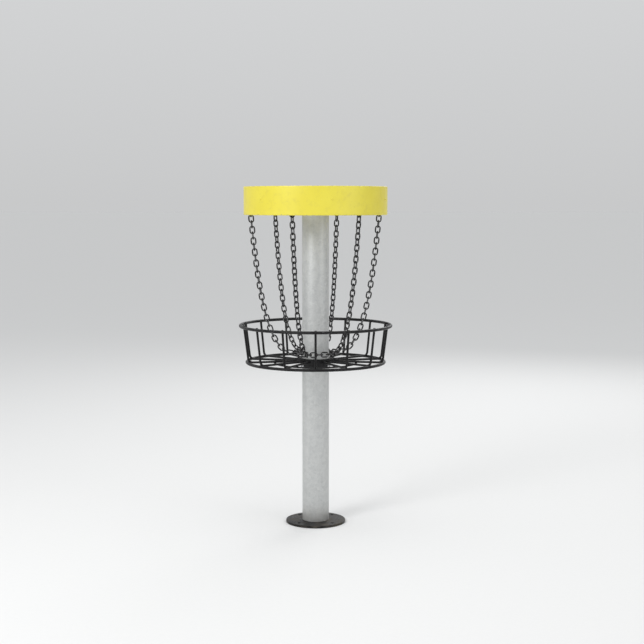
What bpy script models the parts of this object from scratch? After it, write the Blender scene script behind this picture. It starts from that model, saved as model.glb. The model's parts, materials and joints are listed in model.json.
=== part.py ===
"""Disc golf basket on a bolt-down pole, in metres, +Z up.

The origin is on the pole's axis, at the underside of the base plate. The front faces -Y. A heading is an
angle about the pole in degrees: 0 is the front, 90 is +X.
"""
import math

import bmesh
import bpy
from mathutils import Matrix, Vector

GAP = 0.0003  # left between pieces that touch
ROD_SIDES_LEVEL = 2  # bevel resolution of round rod: eight sides

# Pole and base
POLE_RADIUS = 0.05715  # 4 inch pipe, 114.3 mm outside
POLE_WALL = 0.00305
POLE_TOP = 1.400
POLE_SEGMENTS = 48
PLATE_RADIUS = 0.1275
PLATE_THICKNESS = 0.010
PLATE_CHAMFER = 0.0015
PLATE_SEGMENTS = 48
BOLT_HOLE_SEGMENTS = 16
BOLT_CIRCLE_RADIUS = 0.100
BOLT_HOLE_RADIUS = 0.007
BOLT_HEADINGS = (45, 135, 225, 315)
SPIGOT_RADIUS = 0.0535
SPIGOT_WALL = 0.004
SPIGOT_TOP = 0.110
BASE_SCREW_HEIGHT = 0.048
BASE_SCREW_HEADINGS = (150, 210)
BASE_SCREW_TIP = 0.002  # reach of a screw's tip beyond the inside of the spigot
CAP_RADIUS = 0.05655
CAP_DOME_HEIGHT = 0.006
CAP_UNDERSIDE = 0.003  # height of the dome's hollow at its middle
CAP_FLANGE_EDGE = 0.001
CAP_SKIRT_LENGTH = 0.018
CAP_SKIRT_WALL = 0.0025

# Basket
WIRE_COUNT = 14
HOOP_ROD_RADIUS = 0.00635
WIRE_ROD_RADIUS = 0.00475
RIM_RADIUS = 0.3209  # centre line of the rim hoop
RIM_HEIGHT = 0.852
FLOOR_HEIGHT = 0.700  # centre line of the floor spokes
WIRE_SLANT = math.radians(7.2)
WIRE_BEND_RADIUS = 0.020
WIRE_BEND_STEPS = 6
HOOP_SEGMENTS = 4 * WIRE_COUNT
FLOOR_RING_RADIUS = 0.175
FLOOR_RING_ROD_RADIUS = 0.0035
COLLAR_RADIUS = 0.0625
COLLAR_HEIGHT = 0.040
COLLAR_BELOW_SPOKES = 0.028  # from the spokes' centre line down to the collar's lower edge
COLLAR_SCREW_MARGIN = 0.003  # from a screw's head down to the collar's lower edge
COLLAR_SCREW_HEADINGS = (60, 180, 300)

# Top
BAND_RADIUS = 0.304
BAND_BOTTOM = 1.322
BAND_TOP = 1.441
BAND_SHEET = 0.0016
BAND_HEM_THICKNESS = 0.0040
BAND_HEM_HEIGHT = 0.010
BAND_SEGMENTS = 72
HUB_RADIUS = 0.0635
HUB_HEIGHT = 0.058
HUB_SCREW_MARGIN = 0.004
HUB_SCREW_HEADINGS = (40, 160, 280)
ARM_HEADINGS = (10, 70, 130, 190, 250, 310)
ARM_BOTTOM = 1.3725
ARM_HEIGHT = 0.030
ARM_THICKNESS = 0.005
ARM_REACH = 0.3004  # outer face of the tab that meets the band
ARM_BEND_RADIUS = 0.008
ARM_BEND_STEPS = 4
TAB_WIDTH = 0.022
TAB_RIVET_OFFSET = 0.0135

# Chain
STRAND_HEADINGS = (-20, 40, 100, 160, 220, 280)
HANGER_RADIUS = 0.280
HANGER_ROD_RADIUS = 0.00475
HANGER_SEGMENTS = 36
HOOK_WIRE_RADIUS = 0.003
HOOK_UPPER_RADIUS = 0.010
HOOK_LOWER_RADIUS = 0.0085
HOOK_UPPER_OPENING = math.radians(48)
HOOK_LOWER_OPENING = math.radians(56)
HOOK_ARC_STEPS = 9
LINK_PITCH = 0.0236  # inside length of one link
LINK_INSIDE_WIDTH = 0.013
STRAND_LINKS = 28
STRAND_RADIUS = 0.006  # plain tube with the weight of the chain
STRAND_POINTS = 24
STRAND_END_CLEARANCE = 0.002
SIZE_SEARCH = (0.02, 1.0)  # range in which the size of the strands' catenary is looked for
SIZE_HALVINGS = 60
COLLECTOR_SIDE_LINKS = 3
COLLECTOR_CORNER = math.radians(30)
COLLECTOR_HEIGHT = 0.735
COLLECTOR_TUBE_RADIUS = 0.006

# Screws and rivets
SCREW_SHANK_RADIUS = 0.0038
SCREW_HOLE_RADIUS = 0.0041
SCREW_HEAD_RADIUS = 0.0070
SCREW_HEAD_HEIGHT = 0.0044
SCREW_SOCKET_RADIUS = 0.0029
SCREW_SOCKET_DEPTH = 0.0026
SCREW_SEGMENTS = 12
HOLE_LENGTH = 0.030  # of the cutters for screw and rivet holes
RIVET_SHANK_RADIUS = 0.0024
RIVET_HOLE_RADIUS = 0.0028
RIVET_HEAD_RADIUS = 0.0045
RIVET_HEAD_HEIGHT = 0.0022
RIVET_TAIL_RADIUS = 0.0042
RIVET_TAIL_HEIGHT = 0.0016
RIVET_SEGMENTS = 10

SMOOTH_ANGLE = math.radians(35)


# --- general helpers -------------------------------------------------------------------------------------


def clear_scene():
    for obj in list(bpy.data.objects):
        bpy.data.objects.remove(obj, do_unlink=True)


def material(name, colour, roughness, metallic):
    mat = bpy.data.materials.new(name)
    mat.use_nodes = True
    shader = mat.node_tree.nodes["Principled BSDF"]
    shader.inputs["Base Color"].default_value = (*colour, 1.0)
    shader.inputs["Roughness"].default_value = roughness
    shader.inputs["Metallic"].default_value = metallic
    return mat


def turn(heading):
    """Rotation about Z that carries local +X to a heading."""
    return math.radians(heading - 90)


def outward_matrix(heading, radius, height, sideways=0.0):
    """Local +Z points away from the pole, from a point at this radius and height."""
    around = Matrix.Rotation(turn(heading), 4, "Z")
    place = Matrix.Translation((radius, sideways, height))
    return around @ place @ Matrix.Rotation(math.pi / 2, 4, "Y")


def add_object(name, data, mat, matrix=None):
    if mat.name not in data.materials:
        data.materials.append(mat)
    obj = bpy.data.objects.new(name, data)
    bpy.context.collection.objects.link(obj)
    if matrix is not None:
        obj.matrix_world = matrix
    return obj


def mesh_from(name, bm):
    bmesh.ops.recalc_face_normals(bm, faces=bm.faces)
    mesh = bpy.data.meshes.new(name)
    bm.to_mesh(mesh)
    bm.free()
    mesh.shade_smooth()
    mesh.set_sharp_from_angle(angle=SMOOTH_ANGLE)
    return mesh


def turned_mesh(name, profile, segments, closed=True):
    """Turn a profile of (radius, height) points about Z. An open profile starts and ends on the axis."""
    bm = bmesh.new()
    verts = [bm.verts.new((radius, 0.0, height)) for radius, height in profile]
    edges = [bm.edges.new(pair) for pair in zip(verts, verts[1:])]
    if closed:
        edges.append(bm.edges.new((verts[-1], verts[0])))
    bmesh.ops.spin(
        bm, geom=verts + edges, axis=(0, 0, 1), cent=(0, 0, 0), angle=2 * math.pi, steps=segments,
        use_merge=True,
    )
    bmesh.ops.remove_doubles(bm, verts=bm.verts, dist=1e-6)
    return mesh_from(name, bm)


def hoop_mesh(name, radius, height, rod_radius, segments, sides=8):
    """A round rod bent into a closed hoop about Z."""
    angles = [2 * math.pi * i / sides for i in range(sides)]
    profile = [(radius + rod_radius * math.cos(a), height + rod_radius * math.sin(a)) for a in angles]
    return turned_mesh(name, profile, segments)


def sleeve_mesh(name, outer, inner, bottom, top, segments=POLE_SEGMENTS):
    profile = [(outer, bottom), (outer, top), (inner, top), (inner, bottom)]
    return turned_mesh(name, profile, segments)


def rod_curve(name, points, radius, cyclic=False):
    """A round rod along a chain of points, with flat ends."""
    curve = bpy.data.curves.new(name, "CURVE")
    curve.dimensions = "3D"
    curve.bevel_depth = radius
    curve.bevel_resolution = ROD_SIDES_LEVEL
    curve.use_fill_caps = True
    spline = curve.splines.new("POLY")
    spline.points.add(len(points) - 1)
    for target, point in zip(spline.points, points):
        target.co = (*point, 1.0)
    spline.use_cyclic_u = cyclic
    spline.use_smooth = True
    return curve


def prism_mesh(name, outline, bottom, height):
    """An outline in the XY plane, raised by a height."""
    bm = bmesh.new()
    face = bm.faces.new([bm.verts.new((x, y, bottom)) for x, y in outline])
    raised = bmesh.ops.extrude_face_region(bm, geom=[face])
    top = [item for item in raised["geom"] if isinstance(item, bmesh.types.BMVert)]
    bmesh.ops.translate(bm, verts=top, vec=(0, 0, height))
    return mesh_from(name, bm)


def cut(obj, name, matrices, radius, length, segments=SCREW_SEGMENTS):
    """Drill round holes of this length, each centred on a matrix and running along its Z."""
    bm = bmesh.new()
    for matrix in matrices:
        bmesh.ops.create_cone(
            bm, cap_ends=True, segments=segments, radius1=radius, radius2=radius, depth=length, matrix=matrix
        )
    mesh = bpy.data.meshes.new(name)
    bm.to_mesh(mesh)
    bm.free()
    cutter = bpy.data.objects.new(name, mesh)
    bpy.context.collection.objects.link(cutter)
    cutter.hide_render = True
    cutter.display_type = "WIRE"
    modifier = obj.modifiers.new(name, "BOOLEAN")
    modifier.operation = "DIFFERENCE"
    modifier.solver = "EXACT"
    modifier.object = cutter


def arc(centre_x, centre_z, radius, start, end, steps):
    """Points of an arc in the XZ plane, both ends included."""
    angles = [start + (end - start) * i / steps for i in range(steps + 1)]
    return [(centre_x + radius * math.cos(a), 0.0, centre_z + radius * math.sin(a)) for a in angles]


# --- fasteners -------------------------------------------------------------------------------------------


def screw_mesh(name, grip):
    """Button-head screw with a hexagon socket. Its head stands on z = 0, its shank ends at z = -grip."""
    height = SCREW_HEAD_HEIGHT
    socket_floor = GAP + height - SCREW_SOCKET_DEPTH
    profile = [
        (0.0, socket_floor),
        (SCREW_SOCKET_RADIUS, socket_floor),
        (SCREW_SOCKET_RADIUS, GAP + height),
        (SCREW_HEAD_RADIUS * 0.62, GAP + height * 0.93),
        (SCREW_HEAD_RADIUS * 0.90, GAP + height * 0.55),
        (SCREW_HEAD_RADIUS, GAP + height * 0.15),
        (SCREW_HEAD_RADIUS, GAP),
        (SCREW_SHANK_RADIUS, GAP),
        (SCREW_SHANK_RADIUS, -grip),
        (0.0, -grip),
    ]
    return turned_mesh(name, profile, SCREW_SEGMENTS, closed=False)


def rivet_mesh(name, grip):
    """Dome-head rivet. Its head stands on z = 0 and its tail is set beyond z = -grip."""
    top = GAP + RIVET_HEAD_HEIGHT
    tail = -grip - GAP
    profile = [
        (0.0, top),
        (RIVET_HEAD_RADIUS * 0.60, top - RIVET_HEAD_HEIGHT * 0.22),
        (RIVET_HEAD_RADIUS * 0.92, top - RIVET_HEAD_HEIGHT * 0.65),
        (RIVET_HEAD_RADIUS, GAP),
        (RIVET_SHANK_RADIUS, GAP),
        (RIVET_SHANK_RADIUS, tail),
        (RIVET_TAIL_RADIUS, tail),
        (RIVET_TAIL_RADIUS, tail - RIVET_TAIL_HEIGHT),
        (0.0, tail - RIVET_TAIL_HEIGHT),
    ]
    return turned_mesh(name, profile, RIVET_SEGMENTS, closed=False)


def add_screws(prefix, headings, surface_radius, height, grip, mat):
    """Radial screws on a round surface. Returns the matrices of their holes."""
    mesh = screw_mesh(prefix, grip)
    places = [outward_matrix(heading, surface_radius, height) for heading in headings]
    for number, place in enumerate(places, start=1):
        add_object(f"{prefix}_{number}", mesh, mat, place)
    return places


# --- pole and base ---------------------------------------------------------------------------------------


def build_base(steel, galvanised, screw_steel):
    chamfer = PLATE_CHAMFER
    plate_profile = [
        (0.0, 0.0),
        (PLATE_RADIUS - chamfer, 0.0),
        (PLATE_RADIUS, chamfer),
        (PLATE_RADIUS, PLATE_THICKNESS - chamfer),
        (PLATE_RADIUS - chamfer, PLATE_THICKNESS),
        (0.0, PLATE_THICKNESS),
    ]
    plate_mesh = turned_mesh("base_plate", plate_profile, PLATE_SEGMENTS, closed=False)
    plate = add_object("base_plate", plate_mesh, steel)
    out = Matrix.Translation((BOLT_CIRCLE_RADIUS, 0, PLATE_THICKNESS / 2))
    holes = [Matrix.Rotation(turn(heading), 4, "Z") @ out for heading in BOLT_HEADINGS]
    drill = 3 * PLATE_THICKNESS
    cut(plate, "base_plate_bolt_holes", holes, BOLT_HOLE_RADIUS, drill, BOLT_HOLE_SEGMENTS)

    foot = PLATE_THICKNESS + GAP
    spigot_inner = SPIGOT_RADIUS - SPIGOT_WALL
    pole_inner = POLE_RADIUS - POLE_WALL
    spigot = add_object(
        "pole_spigot", sleeve_mesh("pole_spigot", SPIGOT_RADIUS, spigot_inner, foot, SPIGOT_TOP), steel
    )
    pole = add_object("pole", sleeve_mesh("pole", POLE_RADIUS, pole_inner, foot, POLE_TOP), galvanised)
    grip = POLE_RADIUS - spigot_inner + BASE_SCREW_TIP
    screw_holes = add_screws(
        "base_screw", BASE_SCREW_HEADINGS, POLE_RADIUS, BASE_SCREW_HEIGHT, grip, screw_steel
    )
    cut(pole, "pole_screw_holes", screw_holes, SCREW_HOLE_RADIUS, HOLE_LENGTH)
    cut(spigot, "spigot_screw_holes", screw_holes, SCREW_HOLE_RADIUS, HOLE_LENGTH)


def build_pole_cap(plastic):
    """Plastic plug with a low dome. Its skirt fits inside the pole."""
    skirt = POLE_RADIUS - POLE_WALL - GAP
    skirt_inner = skirt - CAP_SKIRT_WALL
    seat = POLE_TOP + GAP
    profile = [
        (0.0, seat + CAP_DOME_HEIGHT),
        (CAP_RADIUS * 0.55, seat + CAP_DOME_HEIGHT * 0.87),
        (CAP_RADIUS * 0.88, seat + CAP_DOME_HEIGHT * 0.52),
        (CAP_RADIUS, seat + CAP_FLANGE_EDGE),
        (CAP_RADIUS, seat),
        (skirt, seat),
        (skirt, seat - CAP_SKIRT_LENGTH),
        (skirt_inner, seat - CAP_SKIRT_LENGTH),
        (skirt_inner, seat + CAP_FLANGE_EDGE),
        (0.0, seat + CAP_UNDERSIDE),
    ]
    add_object("pole_cap", turned_mesh("pole_cap", profile, POLE_SEGMENTS, closed=False), plastic)


# --- basket ----------------------------------------------------------------------------------------------


def bend_centre():
    """Centre (radius, height) of the bend between a wire's upright and its floor spoke.

    The upright leans outwards by WIRE_SLANT and lies against the inside of the rim.
    """
    lap = HOOP_ROD_RADIUS + WIRE_ROD_RADIUS + GAP
    height = FLOOR_HEIGHT + WIRE_BEND_RADIUS
    inwards = lap + WIRE_BEND_RADIUS + (RIM_HEIGHT - height) * math.sin(WIRE_SLANT)
    return RIM_RADIUS - inwards / math.cos(WIRE_SLANT), height


def base_ring_centre():
    """Centre line (radius, height) of the bottom hoop, in the outside corner of the bends."""
    radius, height = bend_centre()
    reach = WIRE_BEND_RADIUS + WIRE_ROD_RADIUS + GAP + HOOP_ROD_RADIUS
    angle = (math.pi / 2 + WIRE_SLANT) / 2
    return radius + reach * math.cos(angle), height - reach * math.sin(angle)


def wire_points():
    """One basket wire: upright, bend and floor spoke, in the plane through the pole's axis."""
    radius, height = bend_centre()
    bend = arc(radius, height, WIRE_BEND_RADIUS, -WIRE_SLANT, -math.pi / 2, WIRE_BEND_STEPS)
    foot = bend[0]
    top_height = RIM_HEIGHT + HOOP_ROD_RADIUS
    top = (foot[0] + (top_height - foot[2]) * math.tan(WIRE_SLANT), 0.0, top_height)
    inner = (COLLAR_RADIUS + GAP, 0.0, FLOOR_HEIGHT)
    return [top] + bend + [inner]


def build_basket(wire_black, screw_steel):
    rim = hoop_mesh("basket_rim", RIM_RADIUS, RIM_HEIGHT, HOOP_ROD_RADIUS, HOOP_SEGMENTS)
    add_object("basket_rim", rim, wire_black)
    ring_radius, ring_height = base_ring_centre()
    base_ring = hoop_mesh("basket_base_ring", ring_radius, ring_height, HOOP_ROD_RADIUS, HOOP_SEGMENTS)
    add_object("basket_base_ring", base_ring, wire_black)
    floor_ring_height = FLOOR_HEIGHT - WIRE_ROD_RADIUS - GAP - FLOOR_RING_ROD_RADIUS
    floor_ring = hoop_mesh(
        "basket_floor_ring", FLOOR_RING_RADIUS, floor_ring_height, FLOOR_RING_ROD_RADIUS, 2 * WIRE_COUNT
    )
    add_object("basket_floor_ring", floor_ring, wire_black)

    wire = rod_curve("basket_wire", wire_points(), WIRE_ROD_RADIUS)
    for index in range(WIRE_COUNT):
        heading = 360 * index / WIRE_COUNT
        place = Matrix.Rotation(turn(heading), 4, "Z")
        add_object(f"basket_wire_{index + 1:02d}", wire, wire_black, place)

    bottom = FLOOR_HEIGHT - COLLAR_BELOW_SPOKES
    top = bottom + COLLAR_HEIGHT
    collar_mesh = sleeve_mesh("basket_collar", COLLAR_RADIUS, POLE_RADIUS + GAP, bottom, top)
    collar = add_object("basket_collar", collar_mesh, wire_black)
    screw_height = bottom + SCREW_HEAD_RADIUS + COLLAR_SCREW_MARGIN
    grip = COLLAR_RADIUS - POLE_RADIUS - GAP
    holes = add_screws(
        "collar_screw", COLLAR_SCREW_HEADINGS, COLLAR_RADIUS, screw_height, grip, screw_steel
    )
    cut(collar, "collar_screw_holes", holes, SCREW_HOLE_RADIUS, HOLE_LENGTH)


# --- top -------------------------------------------------------------------------------------------------


def build_band(yellow):
    """Sheet-metal band with a hem folded inwards along each edge."""
    outer = BAND_RADIUS
    inner = BAND_RADIUS - BAND_SHEET
    hem = BAND_RADIUS - BAND_HEM_THICKNESS
    profile = [
        (outer, BAND_BOTTOM),
        (outer, BAND_TOP),
        (hem, BAND_TOP),
        (hem, BAND_TOP - BAND_HEM_HEIGHT),
        (inner, BAND_TOP - BAND_HEM_HEIGHT),
        (inner, BAND_BOTTOM + BAND_HEM_HEIGHT),
        (hem, BAND_BOTTOM + BAND_HEM_HEIGHT),
        (hem, BAND_BOTTOM),
    ]
    return add_object("top_band", turned_mesh("top_band", profile, BAND_SEGMENTS), yellow)


def arm_outline():
    """Plan of a support arm: a flat bar on edge, bent sideways at the band into a tab."""
    half = ARM_THICKNESS / 2
    inner_bend = ARM_BEND_RADIUS - ARM_THICKNESS
    corner_x = ARM_REACH - ARM_BEND_RADIUS
    corner_y = ARM_BEND_RADIUS - half
    tab_end = TAB_WIDTH - half
    quarter = -math.pi / 2
    outer_bend = arc(corner_x, corner_y, ARM_BEND_RADIUS, quarter, 0.0, ARM_BEND_STEPS)
    outer_arc = [(x, y) for x, _, y in outer_bend]
    inner_arc = [(x, y) for x, _, y in arc(corner_x, corner_y, inner_bend, 0.0, quarter, ARM_BEND_STEPS)]
    start = HUB_RADIUS + GAP
    bar = [(start, -half)]
    tab = [(ARM_REACH, tab_end), (ARM_REACH - ARM_THICKNESS, tab_end)]
    return bar + outer_arc + tab + inner_arc + [(start, half)]


def build_top(yellow, galvanised, screw_steel):
    band = build_band(yellow)
    arm_mesh = prism_mesh("support_arm", arm_outline(), ARM_BOTTOM, ARM_HEIGHT)
    rivet_height = ARM_BOTTOM + ARM_HEIGHT / 2
    grip = BAND_RADIUS - ARM_REACH + ARM_THICKNESS
    rivet = rivet_mesh("band_rivet", grip)
    rivet_places = []
    for number, heading in enumerate(ARM_HEADINGS, start=1):
        arm = add_object(
            f"support_arm_{number}", arm_mesh, galvanised, Matrix.Rotation(turn(heading), 4, "Z")
        )
        place = outward_matrix(heading, BAND_RADIUS, rivet_height, TAB_RIVET_OFFSET)
        cut(arm, f"support_arm_{number}_rivet_hole", [place], RIVET_HOLE_RADIUS, HOLE_LENGTH)
        add_object(f"band_rivet_{number}", rivet, yellow, place)
        rivet_places.append(place)
    cut(band, "band_rivet_holes", rivet_places, RIVET_HOLE_RADIUS, HOLE_LENGTH)

    bottom = POLE_TOP - HUB_HEIGHT
    hub_mesh = sleeve_mesh("top_hub", HUB_RADIUS, POLE_RADIUS + GAP, bottom, POLE_TOP)
    hub = add_object("top_hub", hub_mesh, galvanised)
    screw_grip = HUB_RADIUS - POLE_RADIUS - GAP
    screw_height = bottom + SCREW_HEAD_RADIUS + HUB_SCREW_MARGIN
    holes = add_screws("hub_screw", HUB_SCREW_HEADINGS, HUB_RADIUS, screw_height, screw_grip, screw_steel)
    cut(hub, "hub_screw_holes", holes, SCREW_HOLE_RADIUS, HOLE_LENGTH)


# --- chain -----------------------------------------------------------------------------------------------


def hanger_height():
    """Centre line of the ring that the strands hang from, just under the arms."""
    return ARM_BOTTOM - GAP - HANGER_ROD_RADIUS


def hook_drop():
    """From the hanger ring's centre line down to where the first link bears on the hook."""
    slack = HOOK_UPPER_RADIUS - HOOK_WIRE_RADIUS - HANGER_ROD_RADIUS - GAP
    lower_centre = slack + HOOK_UPPER_RADIUS + HOOK_LOWER_RADIUS
    return lower_centre + HOOK_LOWER_RADIUS - HOOK_WIRE_RADIUS


def collector_radius():
    """Distance from the pole's axis to the collector's short sides.

    The collector is a loop of links with twelve sides at equal angles. A strand pulls on each short side,
    one link long, and COLLECTOR_SIDE_LINKS links lie between two of them.
    """
    short = LINK_PITCH
    long = COLLECTOR_SIDE_LINKS * LINK_PITCH
    return (long + short * math.cos(COLLECTOR_CORNER)) / (2 * math.sin(COLLECTOR_CORNER))


def strand_ends():
    """Top and bottom (radius, height) of the line that one hook and strand hang along."""
    end_radius = collector_radius() + LINK_INSIDE_WIDTH / 2
    return (HANGER_RADIUS, hanger_height()), (end_radius, COLLECTOR_HEIGHT)


def hanging_curve():
    """The catenary of one hook and strand: its size a, its first parameter and its length."""
    (top_radius, top_height), (end_radius, end_height) = strand_ends()
    span = top_radius - end_radius
    drop = top_height - end_height
    length = hook_drop() + STRAND_LINKS * LINK_PITCH
    wanted = math.sqrt(length ** 2 - drop ** 2)
    low, high = SIZE_SEARCH
    for _ in range(SIZE_HALVINGS):
        size = (low + high) / 2
        if 2 * size * math.sinh(span / (2 * size)) > wanted:
            low = size
        else:
            high = size
    first = math.asinh(drop / wanted) - span / (2 * size)
    return size, first, length


def hanging_point(from_top):
    """Point of the catenary at a distance along it from the hanger ring, relative to that ring."""
    (top_radius, top_height), (end_radius, end_height) = strand_ends()
    size, first, length = hanging_curve()
    parameter = math.asinh(math.sinh(first) + (length - from_top) / size)
    radius = end_radius + size * (parameter - first)
    height = end_height + size * (math.cosh(parameter) - math.cosh(first))
    return Vector((radius - top_radius, 0.0, height - top_height))


def hook_points():
    """S-hook in the plane of its strand, leaning with the strand's upper end."""
    slack = HOOK_UPPER_RADIUS - HOOK_WIRE_RADIUS - HANGER_ROD_RADIUS - GAP
    lower_centre = -slack - HOOK_UPPER_RADIUS - HOOK_LOWER_RADIUS
    upper_start = -math.pi / 2 + HOOK_UPPER_OPENING
    upper = arc(0.0, -slack, HOOK_UPPER_RADIUS, upper_start, 1.5 * math.pi, HOOK_ARC_STEPS)
    lower_end = -1.5 * math.pi + HOOK_LOWER_OPENING
    lower = arc(0.0, lower_centre, HOOK_LOWER_RADIUS, math.pi / 2, lower_end, HOOK_ARC_STEPS)
    down = hanging_point(hook_drop())
    lean = Matrix.Rotation(math.atan2(-down.x, -down.z), 4, "Y")
    return [lean @ Vector(point) for point in upper + lower[1:]]


def strand_points():
    hook_bottom = hook_drop() + 2 * HOOK_WIRE_RADIUS
    _, _, length = hanging_curve()
    start = hook_bottom + GAP
    end = length - STRAND_END_CLEARANCE
    steps = STRAND_POINTS - 1
    return [hanging_point(start + (end - start) * i / steps) for i in range(STRAND_POINTS)]


def build_chain(chain_steel, galvanised):
    hanger = hoop_mesh(
        "chain_hanger_ring", HANGER_RADIUS, hanger_height(), HANGER_ROD_RADIUS, HANGER_SEGMENTS
    )
    add_object("chain_hanger_ring", hanger, galvanised)
    hook = rod_curve("s_hook", hook_points(), HOOK_WIRE_RADIUS)
    strand = rod_curve("chain_strand", strand_points(), STRAND_RADIUS)
    for number, heading in enumerate(STRAND_HEADINGS, start=1):
        pivot = bpy.data.objects.new(f"chain_{number}_pivot", None)
        bpy.context.collection.objects.link(pivot)
        pivot.rotation_euler.z = turn(heading)
        ring_point = Vector((HANGER_RADIUS, 0, hanger_height()))
        pivot.location = Matrix.Rotation(turn(heading), 3, "Z") @ ring_point
        for name, data in ((f"s_hook_{number}", hook), (f"chain_strand_{number}", strand)):
            piece = add_object(name, data, chain_steel)
            piece.parent = pivot

    half_short = LINK_PITCH / 2
    corner_radius = math.hypot(collector_radius(), half_short)
    corner_turn = math.degrees(math.atan2(half_short, collector_radius()))
    corners = []
    for heading in STRAND_HEADINGS:
        for side in (-corner_turn, corner_turn):
            corner = Vector((corner_radius, 0, COLLECTOR_HEIGHT))
            corners.append(Matrix.Rotation(turn(heading + side), 3, "Z") @ corner)
    collector = rod_curve("chain_collector", corners, COLLECTOR_TUBE_RADIUS, cyclic=True)
    add_object("chain_collector", collector, chain_steel)


def main():
    clear_scene()
    galvanised = material("galvanised_steel", (0.52, 0.52, 0.51), 0.45, 0.6)
    base_steel = material("base_steel", (0.05, 0.05, 0.05), 0.55, 0.4)
    wire_black = material("black_wire", (0.012, 0.012, 0.013), 0.40, 0.3)
    chain_steel = material("dark_chain", (0.03, 0.03, 0.032), 0.38, 0.8)
    screw_steel = material("screw_steel", (0.45, 0.45, 0.46), 0.35, 0.9)
    yellow = material("yellow_paint", (0.81, 0.71, 0.08), 0.38, 0.0)
    plastic = material("black_plastic", (0.02, 0.02, 0.02), 0.55, 0.0)
    build_base(base_steel, galvanised, screw_steel)
    build_pole_cap(plastic)
    build_basket(wire_black, screw_steel)
    build_top(yellow, galvanised, screw_steel)
    build_chain(chain_steel, galvanised)


main()
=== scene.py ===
"""Looks of a disc golf basket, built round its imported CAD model. Metres, +Z up, front at -Y."""
import json
import math
import random

import bmesh
import bpy
import numpy as np
from mathutils import Matrix, Vector


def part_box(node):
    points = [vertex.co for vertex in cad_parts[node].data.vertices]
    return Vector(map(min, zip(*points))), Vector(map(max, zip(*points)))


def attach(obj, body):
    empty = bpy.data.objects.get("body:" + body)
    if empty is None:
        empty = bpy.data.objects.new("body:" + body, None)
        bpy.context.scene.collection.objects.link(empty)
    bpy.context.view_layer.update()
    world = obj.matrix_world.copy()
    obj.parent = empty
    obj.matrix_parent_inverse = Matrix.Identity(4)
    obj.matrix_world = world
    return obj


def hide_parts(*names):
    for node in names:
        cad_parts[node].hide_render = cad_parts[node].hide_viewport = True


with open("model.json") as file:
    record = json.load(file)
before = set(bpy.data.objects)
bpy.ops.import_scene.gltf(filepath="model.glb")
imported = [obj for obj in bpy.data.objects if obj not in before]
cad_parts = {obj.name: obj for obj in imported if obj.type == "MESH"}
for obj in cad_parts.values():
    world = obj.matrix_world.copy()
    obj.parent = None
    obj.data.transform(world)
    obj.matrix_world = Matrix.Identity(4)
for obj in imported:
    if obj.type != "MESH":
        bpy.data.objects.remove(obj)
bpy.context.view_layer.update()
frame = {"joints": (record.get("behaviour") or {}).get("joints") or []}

# Sizes taken from the CAD model's source, because its boxes don't show them
GAP = 0.0003  # between pieces that touch
POLE_WALL = 0.00305
SPIGOT_WALL = 0.004
BOLT_CIRCLE = 0.100
BOLT_HOLE = 0.007
BOLT_HEADINGS = (45, 135, 225, 315)
WIRE_COUNT = 14
WIRE_SLANT = math.radians(7.2)
WIRE_BEND = 0.020
BAND_SHEET = 0.0016
BAND_HEM_THICKNESS = 0.0040
BAND_HEM_HEIGHT = 0.010
ARM_COUNT = 6
ARM_SPACING = 360 / ARM_COUNT
ARM_HEADING = 10  # of the first arm
ARM_REACH = 0.3004
ARM_THICKNESS = 0.005
ARM_BEND = 0.008
ARM_TAB = 0.022
BAND_RIVET_SIDEWAYS = 0.0135
LINK_PITCH = 0.0236
LINK_INSIDE_WIDTH = 0.013
STRAND_LINKS = 28
SIDE_LINKS = 3
HOOK_WIRE = 0.003
HOOK_UPPER = 0.010
HOOK_LOWER = 0.0085
HOOK_UPPER_OPENING = math.radians(48)
HOOK_LOWER_OPENING = math.radians(56)

# Detail that only the visible pieces have
BASE_SCREW_GRIP = 0.0096
LINK_WIRE = 0.003
STRAND_TWIST = math.radians(16)
LINK_WOBBLE = math.radians(5)
BAND_DENTS = 22
LAP_ANGLE = math.radians(5.2)
LAP_HEADING = 180
PLATE_EDGE = 0.0012
ARM_EDGE = 0.0007
SLEEVE_EDGE = 0.0008

# How fine the meshes are
BAND_ROWS = 18
BAND_STEPS = 360
ROD_SIDES = 16
HOOP_STEPS = 224
TURNED_STEPS = 128
LINK_SIDES = 14
LINK_ARC_STEPS = 11
PLATE_STEPS = 144
HOLE_STEPS = 32
SMOOTH_ANGLE = math.radians(38)
PLATE_SHARP_ANGLE = math.radians(50)

# Camera: eye level with the band, looking slightly down and a touch to the right
EYE = (0.0, -5.4, 1.37)
LOOK_DOWN = math.radians(5.33)
LOOK_RIGHT = math.radians(0.29)
LENS = 71.0


# --- shapes -----------------------------------------------------------------------------
# A shape is a pair of lists: its vertices and its faces.


def joined(shapes):
    verts = []
    faces = []
    for shape_verts, shape_faces in shapes:
        start = len(verts)
        verts.extend(shape_verts)
        faces.extend(tuple(start + i for i in face) for face in shape_faces)
    return verts, faces


def skin(rings, closed=False, capped=False):
    """Faces between rings of equally many points. A capped skin has its end rings filled."""
    count = len(rings[0])
    verts = [tuple(point) for ring in rings for point in ring]
    faces = []
    pairs = len(rings) if closed else len(rings) - 1
    for i in range(pairs):
        here = i * count
        there = ((i + 1) % len(rings)) * count
        for j in range(count):
            k = (j + 1) % count
            faces.append((here + j, here + k, there + k, there + j))
    if capped:
        faces.append(tuple(range(count - 1, -1, -1)))
        faces.append(tuple(range((len(rings) - 1) * count, len(rings) * count)))
    return verts, faces


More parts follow.
